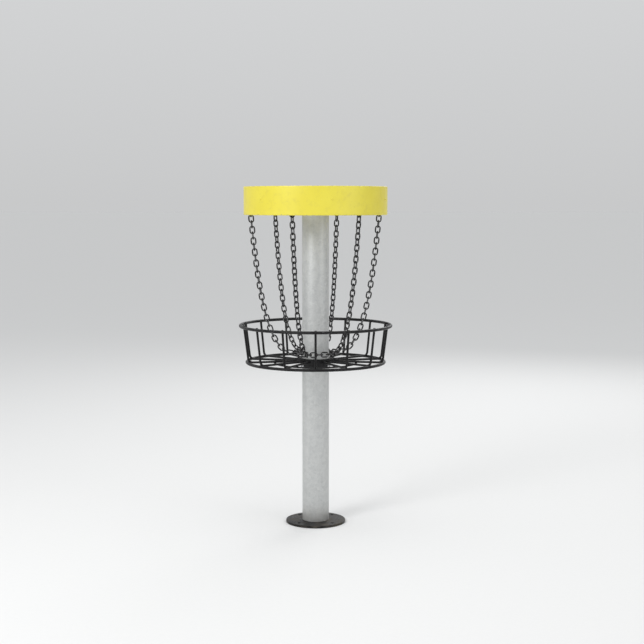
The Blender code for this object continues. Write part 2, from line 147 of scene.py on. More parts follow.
def rod(points, radii, normal, sides=ROD_SIDES, closed=False, dome=0.0):
    """Round rod along a line that lies in one plane. dome rounds its ends, as a share of the radius."""
    line = np.array(points, float)
    radii = np.broadcast_to(np.array(radii, float), len(line)).copy()
    if closed:
        along = np.roll(line, -1, 0) - np.roll(line, 1, 0)
    else:
        along = np.gradient(line, axis=0)
    along /= np.linalg.norm(along, axis=1)[:, None]
    if not closed and dome:
        angles = np.radians((12, 32, 55, 78))
        for end, sign in ((0, -1), (-1, 1)):
            outwards = sign * along[end]
            extra = [line[end] + outwards * radii[end] * dome * math.cos(a) for a in angles[::-1]]
            sizes = [radii[end] * math.sin(a) for a in angles[::-1]]
            if end == 0:
                line = np.vstack([extra[::-1], line])
                radii = np.concatenate([sizes[::-1], radii])
                along = np.vstack([np.repeat(along[:1], len(extra), 0), along])
            else:
                line = np.vstack([line, extra])
                radii = np.concatenate([radii, sizes])
                along = np.vstack([along, np.repeat(along[-1:], len(extra), 0)])
    up = np.array(normal, float)
    side = np.cross(up, along)
    side /= np.linalg.norm(side, axis=1)[:, None]
    over = np.cross(along, side)
    turns = 2 * math.pi * np.arange(sides) / sides
    rings = [
        line[i] + radii[i] * (np.outer(np.cos(turns), side[i]) + np.outer(np.sin(turns), over[i]))
        for i in range(len(line))
    ]
    return skin(rings, closed, capped=not closed)


def turned(profile, steps=TURNED_STEPS, closed=True, matrix=None):
    """Turn (radius, height) points about Z. An open profile has its end rings filled."""
    turns = 2 * math.pi * np.arange(steps) / steps
    rings = [
        np.stack([r * np.cos(turns), r * np.sin(turns), np.full(steps, z)], 1) for r, z in profile
    ]
    return placed(skin(rings, closed, capped=not closed), matrix)


def placed(shape, matrix):
    if matrix is None:
        return shape
    verts, faces = shape
    grid = np.array(matrix, float)
    moved = np.array(verts, float) @ grid[:3, :3].T + grid[:3, 3]
    return [tuple(v) for v in moved], faces


def plate(bm, thickness, edge, segments):
    """Thicken the flat faces in a bmesh upwards, bevel the sharp edges and free the bmesh."""
    grown = bmesh.ops.extrude_face_region(bm, geom=bm.faces[:])
    top = [item for item in grown["geom"] if isinstance(item, bmesh.types.BMVert)]
    bmesh.ops.translate(bm, verts=top, vec=(0, 0, thickness))
    bmesh.ops.recalc_face_normals(bm, faces=bm.faces)
    sharp = [e for e in bm.edges if e.calc_face_angle(0) > PLATE_SHARP_ANGLE]
    bmesh.ops.bevel(
        bm, geom=sharp, offset=edge, segments=segments, profile=0.5, affect="EDGES", clamp_overlap=True
    )
    bm.verts.index_update()
    verts = [tuple(v.co) for v in bm.verts]
    faces = [tuple(v.index for v in f.verts) for f in bm.faces]
    bm.free()
    return verts, faces


def softened(profile, radius, steps=3):
    """Round every corner of a closed profile."""
    points = [Vector(p) for p in profile]
    result = []
    for i, corner in enumerate(points):
        before = points[i - 1] - corner
        after = points[(i + 1) % len(points)] - corner
        reach = min(radius, before.length * 0.45, after.length * 0.45)
        start = corner + before.normalized() * reach
        end = corner + after.normalized() * reach
        for k in range(steps + 1):
            t = k / steps
            point = start * (1 - t) ** 2 + corner * (2 * t * (1 - t)) + end * t ** 2
            result.append(tuple(point))
    return result


def sleeve(outer, inner, bottom, top):
    """Round tube with softened edges."""
    section = [(outer, bottom), (outer, top), (inner, top), (inner, bottom)]
    return turned(softened(section, SLEEVE_EDGE))


def circle(radius, height, steps=HOOP_STEPS):
    turns = [2 * math.pi * i / steps for i in range(steps)]
    return [(radius * math.cos(a), radius * math.sin(a), height) for a in turns]


def arc(centre_x, centre_z, radius, start, end, steps):
    """Arc in the XZ plane, both ends included."""
    angles = [start + (end - start) * i / steps for i in range(steps + 1)]
    centre = Vector((centre_x, 0.0, centre_z))
    return [centre + radius * Vector((math.cos(a), 0.0, math.sin(a))) for a in angles]


def nugget(centre, radii, matrix, seed, rows=8, columns=12):
    """A small lump of weld metal."""
    dice = random.Random(seed)
    phases = [dice.uniform(0, 2 * math.pi) for _ in range(3)]
    rings = []
    for i in range(1, rows):
        tilt = math.pi * i / rows
        ring = []
        for j in range(columns):
            turn = 2 * math.pi * j / columns
            swell = 1 + 0.07 * math.sin(3 * turn + phases[0]) + 0.06 * math.sin(2 * tilt + phases[1])
            swell += 0.04 * math.sin(5 * turn + 3 * tilt + phases[2])
            ring.append((
                radii[0] * swell * math.sin(tilt) * math.cos(turn),
                radii[1] * swell * math.sin(tilt) * math.sin(turn),
                radii[2] * swell * math.cos(tilt),
            ))
        rings.append(ring)
    return placed(skin(rings, capped=True), Matrix.Translation(centre) @ matrix.to_4x4())


def bead(points, radius, normal, seed, closed=False, ripple=0.0022):
    """A weld bead: a rod whose thickness ripples."""
    dice = random.Random(seed)
    phase = dice.uniform(0, 2 * math.pi)
    travelled = 0.0
    radii = []
    for i, point in enumerate(points):
        if i:
            travelled += (Vector(point) - Vector(points[i - 1])).length
        wave = math.sin(2 * math.pi * travelled / ripple + phase)
        radii.append(radius * (1 + 0.09 * wave + dice.uniform(-0.05, 0.05)))
    return rod(points, radii, normal, sides=8, closed=closed, dome=0.9)


# --- pieces -----------------------------------------------------------------------------


def piece(name, shape, look, body="stand", nodes=(), values=None):
    """Make a visible piece that rides on a body and stands for these CAD nodes."""
    verts, faces = shape
    mesh = bpy.data.meshes.new(name)
    mesh.from_pydata([tuple(v) for v in verts], [], faces)
    for label, numbers in (values or {}).items():
        mesh.attributes.new(label, "FLOAT", "POINT").data.foreach_set("value", numbers)
    bm = bmesh.new()
    bm.from_mesh(mesh)
    bmesh.ops.recalc_face_normals(bm, faces=bm.faces)
    bm.to_mesh(mesh)
    bm.free()
    mesh.shade_smooth()
    mesh.set_sharp_from_angle(angle=SMOOTH_ANGLE)
    mesh.materials.append(look)
    obj = bpy.data.objects.new(name, mesh)
    bpy.context.collection.objects.link(obj)
    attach(obj, body)
    if nodes:
        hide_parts(*nodes)
    return obj


def middle(node):
    low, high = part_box(node)
    return (low + high) / 2


def hoop_sizes(node):
    """Centre-line radius, height and rod radius of a hoop that the CAD model holds."""
    low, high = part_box(node)
    rod_radius = (high.z - low.z) / 2
    return high.x - rod_radius, (low.z + high.z) / 2, rod_radius


def heading_matrix(heading):
    """Carries local +X to a heading: 0 is the front, 90 is +X."""
    return Matrix.Rotation(math.radians(heading - 90), 4, "Z")


def outward_matrix(heading, radius, height, sideways=0.0):
    """Local +Z points away from the pole."""
    place = Matrix.Translation((radius, sideways, height))
    return heading_matrix(heading) @ place @ Matrix.Rotation(math.pi / 2, 4, "Y")


# --- materials --------------------------------------------------------------------------


class Look:
    """A material in the making: a Principled shader and short ways to add nodes to it."""

    def __init__(self, name, roughness, metallic=0.0, coat=0.0, specular=0.5):
        self.material = bpy.data.materials.new(name)
        self.material.use_nodes = True
        self.tree = self.material.node_tree
        self.shader = self.tree.nodes["Principled BSDF"]
        self.shader.inputs["Roughness"].default_value = roughness
        self.shader.inputs["Metallic"].default_value = metallic
        self.shader.inputs["Specular IOR Level"].default_value = specular
        self.shader.inputs["Coat Weight"].default_value = coat
        self.shader.inputs["Coat Roughness"].default_value = 0.25
        self.place = self.node("ShaderNodeTexCoord").outputs["Object"]

    def node(self, kind, settings=None, **inputs):
        made = self.tree.nodes.new(kind)
        for key, value in (settings or {}).items():
            setattr(made, key, value)
        for key, value in inputs.items():
            socket = made.inputs[key.replace("_", " ")]
            if isinstance(value, bpy.types.NodeSocket):
                self.tree.links.new(value, socket)
            else:
                socket.default_value = value
        return made

    def feed(self, socket, output):
        self.tree.links.new(output, self.shader.inputs[socket])

    def noise(self, scale, detail=3.0, roughness=0.55, place=None):
        made = self.node(
            "ShaderNodeTexNoise", Vector=place or self.place, Scale=scale, Detail=detail, Roughness=roughness
        )
        return made.outputs["Fac"]

    def around(self, radius, stretch_along, stretch_up):
        """Coordinates of a sheet wrapped round the pole's axis, seamed at the back."""
        parts = self.node("ShaderNodeSeparateXYZ", Vector=self.place).outputs
        angle = self.maths("ARCTAN2", parts["X"], self.maths("MULTIPLY", parts["Y"], -1.0))
        along = self.maths("MULTIPLY", angle, radius * stretch_along)
        up = self.maths("MULTIPLY", parts["Z"], stretch_up)
        return self.node("ShaderNodeCombineXYZ", X=along, Y=up).outputs["Vector"]

    def cells(self, scale, output="Color"):
        return self.node("ShaderNodeTexVoronoi", Vector=self.place, Scale=scale).outputs[output]

    def stretched(self, scale):
        return self.node("ShaderNodeMapping", Vector=self.place, Scale=scale).outputs["Vector"]

    def range(self, value, low, high, to_low=0.0, to_high=1.0):
        made = self.node(
            "ShaderNodeMapRange", Value=value, From_Min=low, From_Max=high, To_Min=to_low, To_Max=to_high
        )
        return made.outputs["Result"]

    def maths(self, operation, first, second=0.0):
        made = self.node("ShaderNodeMath", {"operation": operation})
        for socket, value in zip(made.inputs, (first, second)):
            if isinstance(value, bpy.types.NodeSocket):
                self.tree.links.new(value, socket)
            else:
                socket.default_value = value
        return made.outputs["Value"]

    def height(self):
        return self.node("ShaderNodeSeparateXYZ", Vector=self.place).outputs["Z"]

    def band_of(self, low, high, soft):
        """1 between two heights, falling to 0 over a soft distance outside them."""
        z = self.height()
        rising = self.range(z, low - soft, low)
        falling = self.range(z, high, high + soft, 1.0, 0.0)
        return self.maths("MULTIPLY", rising, falling)

    def mix(self, share, first, second):
        made = self.node("ShaderNodeMix", {"data_type": "RGBA"})
        sockets = (made.inputs["Factor"], made.inputs[6], made.inputs[7])
        for socket, value in zip(sockets, (share, first, second)):
            if isinstance(value, bpy.types.NodeSocket):
                self.tree.links.new(value, socket)
            elif isinstance(value, tuple):
                socket.default_value = (*value, 1.0)
            else:
                socket.default_value = value
        return made.outputs[2]

    def bump(self, height, distance, strength=1.0, below=None):
        made = self.node("ShaderNodeBump", Height=height, Distance=distance, Strength=strength)
        if below is not None:
            self.tree.links.new(below, made.inputs["Normal"])
        return made.outputs["Normal"]


def yellow_paint():
    """Powder coat on the band: fine orange peel, faint fading, chips and rub marks at both edges."""
    low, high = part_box("top_band")
    look = Look("yellow_powder_coat", roughness=0.4, coat=0.15)
    fading = look.range(look.noise(5.0, 2.0), 0.35, 0.65)
    colour = look.mix(fading, (0.735, 0.628, 0.046), (0.795, 0.695, 0.066))
    grime = look.range(look.noise(38.0, 5.0, 0.7), 0.52, 0.78, 0.0, 0.35)
    colour = look.mix(grime, colour, (0.52, 0.43, 0.07))
    edge_low = look.range(look.height(), low.z, low.z + 0.009, 1.0, 0.0)
    edge_high = look.range(look.height(), high.z - 0.006, high.z)
    edge = look.maths("MAXIMUM", edge_low, edge_high)
    speck = look.noise(260.0, 4.0, 0.65)
    chips = look.range(look.maths("ADD", speck, look.maths("MULTIPLY", edge, 0.16)), 0.715, 0.735)
    streak = look.noise(1.0, 4.0, 0.6, look.around(high.x, 24.0, 900.0))
    zone = look.range(look.noise(7.0, 2.0), 0.52, 0.66)
    scrapes = look.maths("MULTIPLY", look.range(streak, 0.66, 0.72), zone)
    colour = look.mix(look.maths("MULTIPLY", scrapes, 0.7), colour, (0.90, 0.84, 0.30))
    low_marks = look.maths("MULTIPLY", look.range(look.height(), low.z, low.z + 0.05, 1.0, 0.25), zone)
    rubber = look.range(look.noise(1.0, 5.0, 0.7, look.around(high.x, 30.0, 190.0)), 0.60, 0.70)
    rubs = look.maths("MULTIPLY", rubber, low_marks)
    colour = look.mix(look.maths("MULTIPLY", rubs, 0.38), colour, (0.16, 0.14, 0.08))
    colour = look.mix(chips, colour, (0.23, 0.22, 0.20))
    look.feed("Base Color", colour)
    look.feed("Roughness", look.range(look.noise(60.0, 4.0), 0.3, 0.7, 0.34, 0.50))
    peel = look.bump(look.noise(900.0, 2.0), 0.00012, 0.5)
    look.feed("Normal", look.bump(chips, 0.0002, -0.8, peel))
    return look.material


def galvanised_steel():
    """Hot-dip zinc: soft spangle, long drips and streaks, and scuffs where the chains swing."""
    look = Look("galvanised_steel", roughness=0.45, metallic=0.45)
    spangle = look.node("ShaderNodeSeparateColor", Color=look.cells(85.0)).outputs["Red"]
    fine = look.node("ShaderNodeSeparateColor", Color=look.cells(210.0)).outputs["Green"]
    pattern = look.maths("ADD", look.maths("MULTIPLY", spangle, 0.6), look.maths("MULTIPLY", fine, 0.4))
    colour = look.mix(pattern, (0.455, 0.465, 0.462), (0.570, 0.578, 0.570))
    drip_place = look.stretched((34.0, 34.0, 2.2))
    drips = look.range(look.noise(1.0, 4.0, 0.6, drip_place), 0.50, 0.80, 0.0, 0.35)
    colour = look.mix(drips, colour, (0.68, 0.685, 0.675))
    chain_zone = look.band_of(0.74, 1.02, 0.10)
    marks = look.range(look.noise(120.0, 6.0, 0.7), 0.60, 0.66)
    scuffs = look.maths("MULTIPLY", chain_zone, marks)
    colour = look.mix(look.maths("MULTIPLY", scuffs, 0.5), colour, (0.30, 0.30, 0.30))
    splash = look.maths("MULTIPLY", look.band_of(0.0, 0.02, 0.07), look.noise(45.0, 6.0, 0.7))
    colour = look.mix(look.maths("MULTIPLY", splash, 0.55), colour, (0.33, 0.30, 0.26))
    look.feed("Base Color", colour)
    look.feed("Roughness", look.range(pattern, 0.0, 1.0, 0.36, 0.56))
    grain = look.bump(look.noise(420.0, 3.0), 0.00012, 0.35)
    look.feed("Normal", look.bump(scuffs, 0.0002, -0.5, grain))
    return look.material


def black_powder_coat(name, rub_height=None, soiled=False):
    """Black coating on wire and plate. It is rubbed to a dull grey near a given height."""
    look = Look(name, roughness=0.40, coat=0.02, specular=0.2)
    shade = look.range(look.noise(22.0, 4.0), 0.35, 0.68)
    colour = look.mix(shade, (0.003, 0.003, 0.0035), (0.013, 0.013, 0.014))
    dust = look.range(look.noise(130.0, 5.0, 0.7), 0.50, 0.78, 0.0, 0.42)
    colour = look.mix(dust, colour, (0.060, 0.057, 0.052))
    if rub_height is not None:
        zone = look.band_of(rub_height - 0.001, rub_height + 0.02, 0.006)
        lines = look.noise(1.0, 6.0, 0.7, look.around(0.32, 46.0, 260.0))
        rubs = look.maths("MULTIPLY", zone, look.range(lines, 0.585, 0.62))
        colour = look.mix(look.maths("MULTIPLY", rubs, 0.75), colour, (0.17, 0.17, 0.175))
    gloss = look.range(look.noise(95.0, 4.0), 0.3, 0.7, 0.28, 0.56)
    if soiled:
        soil = look.range(look.noise(26.0, 7.0, 0.72), 0.47, 0.68, 0.0, 0.75)
        colour = look.mix(soil, colour, (0.105, 0.090, 0.070))
        chips = look.range(look.noise(170.0, 5.0, 0.7), 0.685, 0.70)
        colour = look.mix(chips, colour, (0.115, 0.060, 0.034))
        gloss = look.maths("ADD", gloss, look.maths("MULTIPLY", soil, 0.35))
    look.feed("Base Color", colour)
    look.feed("Roughness", gloss)
    look.feed("Normal", look.bump(look.noise(700.0, 2.0), 0.0002, 0.8))
    return look.material


def chain_steel():
    """Dark steel chain, bright where link bears on link."""
    look = Look("dark_chain_steel", roughness=0.38, specular=0.2)
    wear = look.node("ShaderNodeAttribute", {"attribute_name": "wear"}).outputs["Fac"]
    blotch = look.noise(190.0, 5.0, 0.65)
    worn = look.range(look.maths("MULTIPLY", wear, look.maths("ADD", blotch, 0.45)), 0.22, 0.60)
    shade = look.range(look.noise(45.0, 4.0), 0.3, 0.7)
    colour = look.mix(shade, (0.008, 0.008, 0.009), (0.024, 0.023, 0.022))
    rust = look.range(look.noise(85.0, 6.0, 0.7), 0.64, 0.76, 0.0, 0.45)
    colour = look.mix(rust, colour, (0.070, 0.034, 0.016))
    look.feed("Base Color", look.mix(worn, colour, (0.40, 0.40, 0.41)))
    look.feed("Metallic", look.range(worn, 0.0, 1.0, 0.45, 1.0))
    look.feed("Roughness", look.range(blotch, 0.3, 0.7, 0.28, 0.50))
    look.feed("Normal", look.bump(look.noise(520.0, 4.0), 0.00015, 0.5))
    return look.material


def screw_steel():
    """Stainless steel with fine turning marks and a little grime."""
    look = Look("screw_steel", roughness=0.3, metallic=1.0)
    grime = look.range(look.noise(240.0, 5.0, 0.7), 0.48, 0.72, 0.0, 0.6)
    look.feed("Base Color", look.mix(grime, (0.56, 0.56, 0.57), (0.19, 0.18, 0.17)))
    look.feed("Roughness", look.range(look.noise(380.0, 4.0), 0.3, 0.7, 0.22, 0.46))
    look.feed("Normal", look.bump(look.noise(1500.0, 2.0), 0.00005, 0.5))
    return look.material


def weld_metal(name, dark, light, metallic, specular=0.5):
    look = Look(name, roughness=0.45, metallic=metallic, specular=specular)
    shade = look.range(look.noise(160.0, 5.0, 0.65), 0.35, 0.68)
    look.feed("Base Color", look.mix(shade, dark, light))
    look.feed("Roughness", look.range(look.noise(300.0, 3.0), 0.3, 0.7, 0.34, 0.58))
    look.feed("Normal", look.bump(look.noise(620.0, 4.0), 0.0004, 0.6))
    return look.material


def black_plastic():
    look = Look("moulded_black_plastic", roughness=0.5)
    fading = look.range(look.noise(18.0, 3.0), 0.3, 0.7)
    look.feed("Base Color", look.mix(fading, (0.016, 0.016, 0.017), (0.032, 0.032, 0.033)))
    look.feed("Roughness", look.range(look.noise(140.0, 4.0), 0.3, 0.7, 0.44, 0.60))
    look.feed("Normal", look.bump(look.noise(1300.0, 2.0), 0.0001, 0.7))
    return look.material


# --- fasteners --------------------------------------------------------------------------


def screw_shape(matrix, grip):
    """Button-head screw with a hexagon socket."""
    steps = 48
    turns = [2 * math.pi * i / steps for i in range(steps)]
    sixth = math.pi / 3
    hexagon = [1 / math.cos((a + sixth / 2) % sixth - sixth / 2) for a in turns]
    flat = 0.0025
    head = 0.0070
    tall = 0.0044
    shank = 0.0038
    rings = [
        (0.35 * flat, GAP + tall - 0.0027, True),
        (0.97 * flat, GAP + tall - 0.0026, True),
        (flat, GAP + tall - 0.0024, True),
        (flat, GAP + tall - 0.0003, True),
        (1.09 * flat, GAP + tall, True),
        (0.56 * head, GAP + tall, False),
        (0.64 * head, GAP + tall * 0.97, False),
        (0.78 * head, GAP + tall * 0.82, False),
        (0.90 * head, GAP + tall * 0.58, False),
        (0.97 * head, GAP + tall * 0.32, False),
        (head, GAP + tall * 0.12, False),
        (0.985 * head, GAP, False),
        (shank, GAP, False),
        (shank, -grip + 0.0006, False),
        (0.86 * shank, -grip, False),
    ]
    shaped = []
    for radius, z, hexed in rings:
        reach = hexagon if hexed else [1.0] * steps
        ring = [(radius * k * math.cos(a), radius * k * math.sin(a), z) for a, k in zip(turns, reach)]
        shaped.append(ring)
    return placed(skin(shaped, capped=True), matrix)


def rivet_shape(matrix, grip):
    """Dome-head rivet with a set tail."""
    head = 0.0045
    tall = 0.0022
    shank = 0.0024
    tail = 0.0042
    tilts = np.radians((4, 15, 28, 42, 56, 70, 82, 90))
    profile = [(head * math.sin(a), GAP + tall * math.cos(a)) for a in tilts]
    profile += [(head * 0.97, GAP * 0.3), (shank, GAP * 0.3), (shank, -grip - GAP)]
    profile += [(tail * 0.95, -grip - GAP), (tail, -grip - 0.0008)]
    profile += [(tail * 0.82, -grip - 0.0018), (tail * 0.2, -grip - 0.0019)]
    return turned(profile, steps=40, closed=False, matrix=matrix)


def add_screws(prefix, count, surface_radius, grip, looks):
    """Radial screws on a round surface, each where its CAD node is."""
    for number in range(1, count + 1):
        node = f"{prefix}_{number}"
        at = middle(node)
        heading = math.degrees(math.atan2(at.x, -at.y))
        shape = screw_shape(outward_matrix(heading, surface_radius, at.z), grip)
        piece(f"{node}_button_head", shape, looks["screw"], nodes=[node])


# --- pole and base ----------------------------------------------------------------------


def build_base(looks):
    low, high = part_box("base_plate")
    loops = [circle(high.x, low.z, PLATE_STEPS)]
    for heading in BOLT_HEADINGS:
        centre = heading_matrix(heading) @ Vector((BOLT_CIRCLE, 0, 0))
        hole = circle(BOLT_HOLE, low.z, HOLE_STEPS)
        loops.append([(centre.x + x, centre.y + y, z) for x, y, z in hole])
    bm = bmesh.new()
    edges = []
    for loop in loops:
        verts = [bm.verts.new(point) for point in loop]
        edges += [bm.edges.new((a, b)) for a, b in zip(verts, verts[1:] + verts[:1])]
    bmesh.ops.triangle_fill(bm, edges=edges, use_beauty=True)
    shape = plate(bm, high.z - low.z, PLATE_EDGE, segments=3)
    piece("base_plate_finished", shape, looks["base"], nodes=["base_plate"])

    low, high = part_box("pole")
    tube = sleeve(high.x, high.x - POLE_WALL, low.z, high.z)
    piece("pole_tube", tube, looks["zinc"], nodes=["pole"])
    spigot_low, spigot_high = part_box("pole_spigot")
    spigot = sleeve(spigot_high.x, spigot_high.x - SPIGOT_WALL, spigot_low.z, spigot_high.z)
    piece("spigot_tube", spigot, looks["base"], nodes=["pole_spigot"])
    build_cap(looks, seat=high.z + GAP, skirt=high.x - POLE_WALL - GAP)
    add_screws("base_screw", 2, high.x, BASE_SCREW_GRIP, looks)


def build_cap(looks, seat, skirt):
    """Plug with a low dome, a groove round the dome and a skirt inside the pole."""
    low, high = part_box("pole_cap")
    flange = high.x
    flange_edge = seat + 0.001
    skirt_inner = skirt - 0.0025
    profile = []
    for share in (0.02, 0.2, 0.4, 0.58, 0.70, 0.715, 0.73, 0.76, 0.775, 0.79, 0.86, 0.92, 0.96, 0.985, 1.0):
        rise = 0.0045 * math.sqrt(max(0.0, 1 - share ** 2.4))
        groove = 0.0009 if 0.72 < share < 0.77 else 0.0
        profile.append((flange * share, flange_edge + rise - groove))
    profile += [(flange, seat), (skirt, seat)]
    profile += [(skirt, low.z + 0.001), (skirt - 0.0006, low.z), (skirt_inner, low.z)]
    profile += [(skirt_inner, seat + 0.0008), (0.004, seat + 0.003)]
    shape = turned(profile, closed=False)
    piece("cap_moulding", shape, looks["plastic"], nodes=["pole_cap"])


# --- basket -----------------------------------------------------------------------------


def wire_line():
    """Centre line of basket_wire_01 turned to local +X: upright, bend and floor spoke."""
    rim_radius, rim_height, rim_rod = hoop_sizes("basket_rim")
    low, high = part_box("basket_wire_01")
    floor_z = low.z + wire_radius()
    inner = -high.y
    centre_z = floor_z + WIRE_BEND
    lap = rim_rod + wire_radius() + GAP
    inwards = lap + WIRE_BEND + (rim_height - centre_z) * math.sin(WIRE_SLANT)
    centre_x = rim_radius - inwards / math.cos(WIRE_SLANT)
    bend = arc(centre_x, centre_z, WIRE_BEND, -WIRE_SLANT, -math.pi / 2, 18)
    top_z = rim_height + rim_rod - 0.0004
    foot = bend[0]
    top = Vector((foot.x + (top_z - foot.z) * math.tan(WIRE_SLANT), 0, top_z))
    upright = [top.lerp(foot, i / 8) for i in range(8)]
    end = Vector((inner, 0, floor_z))
    spoke = [bend[-1].lerp(end, i / 10) for i in range(1, 11)]
    return upright + bend + spoke


def wire_radius():
    low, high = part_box("basket_wire_01")
    return (high.x - low.x) / 2


def hoop(node, name, look, weld_look, weld_heading, steps=HOOP_STEPS, sides=ROD_SIDES):
    """Rod bent into a ring, with the weld that closes it at a given heading."""
    radius, height, rod_radius = hoop_sizes(node)
    shape = rod(circle(radius, height, steps), rod_radius, (0, 0, 1), sides, closed=True)
    piece(name, shape, look, nodes=[node])
    turns = [2 * math.pi * i / 24 for i in range(24)]
    ring = [(radius + rod_radius * math.cos(a), 0.0, height + rod_radius * math.sin(a)) for a in turns]
    weld = placed(bead(ring, 0.0011, (0, 1, 0), seed=name, closed=True), heading_matrix(weld_heading))
    piece(f"{name}_closing_weld", weld, weld_look)


def build_basket(looks):
    weld = looks["weld_black"]
    hoop("basket_rim", "rim_hoop", looks["rim"], weld, 193, sides=20)
    hoop("basket_base_ring", "bottom_hoop", looks["wire"], weld, 167, sides=20)
    hoop("basket_floor_ring", "floor_hoop", looks["wire"], weld, 193, steps=160, sides=14)
    line = wire_line()
    for index in range(WIRE_COUNT):
        turn = heading_matrix(360 * index / WIRE_COUNT)
        shape = placed(rod(line, wire_radius(), (0, 1, 0), dome=0.35), turn)
        node = f"basket_wire_{index + 1:02d}"
        piece(f"bent_wire_{index + 1:02d}", shape, looks["rim"], nodes=[node])

    low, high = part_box("basket_collar")
    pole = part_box("pole")[1].x
    collar = sleeve(high.x, pole + GAP, low.z, high.z)
    piece("collar_sleeve", collar, looks["wire"], nodes=["basket_collar"])
    add_screws("collar_screw", 3, high.x, high.x - pole - GAP, looks)
    build_basket_welds(looks, line, high.x)


def build_basket_welds(looks, line, collar_radius):
    """Resistance welds where rod crosses rod, and a fillet round each spoke at the collar."""
    wire = wire_radius()
    hoops = {"rim": "basket_rim", "bottom": "basket_base_ring", "floor": "basket_floor_ring"}
    for label, node in hoops.items():
        radius, height, _ = hoop_sizes(node)
        hoop_centre = Vector((radius, 0, height))
        nearest = min(dense(line), key=lambda p: (p - hoop_centre).length)
        towards = (nearest - hoop_centre).normalized()
        contact = nearest - towards * wire
        lean = towards.to_track_quat("Z", "Y").to_matrix()
        shapes = []
        for index in range(WIRE_COUNT):
            lump = nugget(contact, (0.0042, 0.0042, 0.0026), lean, seed=f"{label}{index}")
            shapes.append(placed(lump, heading_matrix(360 * index / WIRE_COUNT)))
        piece(f"{label}_hoop_welds", joined(shapes), looks["weld_black"])
    fillets = []
    foot_x = collar_radius + 0.0006
    foot_z = line[-1].z
    reach = wire * 1.04
    turns = [2 * math.pi * i / 28 for i in range(28)]
    ring = [(foot_x, reach * math.cos(a), foot_z + reach * math.sin(a)) for a in turns]
    for index in range(WIRE_COUNT):
        fillet = bead(ring, 0.0013, (1, 0, 0), seed=f"spoke{index}", closed=True)
        fillets.append(placed(fillet, heading_matrix(360 * index / WIRE_COUNT)))
    piece("spoke_fillet_welds", joined(fillets), looks["weld_black"])


def dense(line, steps=12):
    """The line with extra points between its own."""
    return [a.lerp(b, i / steps) for a, b in zip(line, line[1:]) for i in range(steps)]


# --- top --------------------------------------------------------------------------------


def band_dents(low, high):
    """Shallow dents that discs have left: (angle, height, depth, size), clear of rivets and lap."""
    dice = random.Random(41)
    dents = []
    while len(dents) < BAND_DENTS:
        heading = dice.uniform(0, 360)
        from_arm = abs((heading - ARM_HEADING + ARM_SPACING / 2) % ARM_SPACING - ARM_SPACING / 2)
        from_lap = abs(heading - LAP_HEADING)
        if min(from_arm, from_lap) < 9:
            continue
        height = dice.uniform(low + 0.02, high - 0.03)
        angle = math.radians(heading - 90)
        dents.append((angle, height, dice.uniform(0.0004, 0.0013), dice.uniform(0.009, 0.018)))
    return dents


def dented(shape, dents, radius):
    """Push a round shape's points towards the pole where it has dents."""
    verts, faces = shape
    points = np.array(verts)
    angles = np.arctan2(points[:, 1], points[:, 0])
    push = np.zeros(len(points))
    for angle, height, depth, size in dents:
        along = radius * np.abs((angles - angle + math.pi) % (2 * math.pi) - math.pi)
        push += depth * np.exp(-(along ** 2 + (points[:, 2] - height) ** 2) / (2 * size ** 2))
    reach = np.hypot(points[:, 0], points[:, 1])
    points[:, :2] *= ((reach - push) / reach)[:, None]
    return points.tolist(), faces


def build_band(looks):
    """Sheet with closed hems folded inwards, lapped and riveted at the back."""
    low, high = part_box("top_band")
    outer = high.x
    inner = outer - BAND_SHEET
    fold = outer - BAND_HEM_THICKNESS
    half = BAND_HEM_THICKNESS / 2
    lip = 0.0006
    sweep = np.linspace(-math.pi, 0, 9)
    fold_middle = outer - half
    lower_edge = [
        (fold_middle + half * math.cos(a), low.z + half + half * math.sin(a)) for a in sweep
    ]
    upper_edge = [
        (fold_middle + half * math.cos(a), high.z - half - half * math.sin(a)) for a in sweep[::-1]
    ]
    face = np.linspace(low.z + half, high.z - half, BAND_ROWS + 2)[1:-1]
    upper_lip = high.z - BAND_HEM_HEIGHT
    lower_lip = low.z + BAND_HEM_HEIGHT
    back = np.linspace(upper_lip, lower_lip, BAND_ROWS + 2)[1:-1]
    profile = [
        *lower_edge,
        *((outer, z) for z in face),
        *upper_edge,
        (fold, upper_lip + lip),
        (fold + lip, upper_lip),
        (inner, upper_lip + lip / 2),
        *((inner, z) for z in back),
        (inner, lower_lip - lip / 2),
        (fold + lip, lower_lip),
        (fold, lower_lip - lip),
    ]
    sheet = dented(turned(profile, steps=BAND_STEPS), band_dents(low.z, high.z), outer)
    piece("band_sheet", sheet, looks["yellow"], nodes=["top_band"])
    build_band_lap(looks, outer, low.z, high.z)


def build_band_lap(looks, outer, bottom, top):
    """Riveted strip over the joint between the band's ends."""
    thickness = 0.0012
    margin = 0.013  # from the band's edges
    columns = 14
    strip = []
    for i in range(columns + 1):
        angle = math.pi / 2 + LAP_ANGLE * (i / columns - 0.5)
        at_end = i in (0, columns)
        face = outer + thickness * (0.25 if at_end else 1.0)
        column = [
            (outer - 0.0003, bottom + margin - 0.0005),
            (face, bottom + margin),
            (face, top - margin),
            (outer - 0.0003, top - margin + 0.0005),
        ]
        strip.append([(r * math.cos(angle), r * math.sin(angle), z) for r, z in column])
    piece("band_lap_strip", skin(strip, capped=True), looks["yellow"])
    rivets = []
    for share in (0.2, 0.5, 0.8):
        place = outward_matrix(LAP_HEADING, outer + 0.0011, bottom + (top - bottom) * share)
        rivets.append(rivet_shape(place, 0.0032))
    piece("band_lap_rivets", joined(rivets), looks["yellow"])


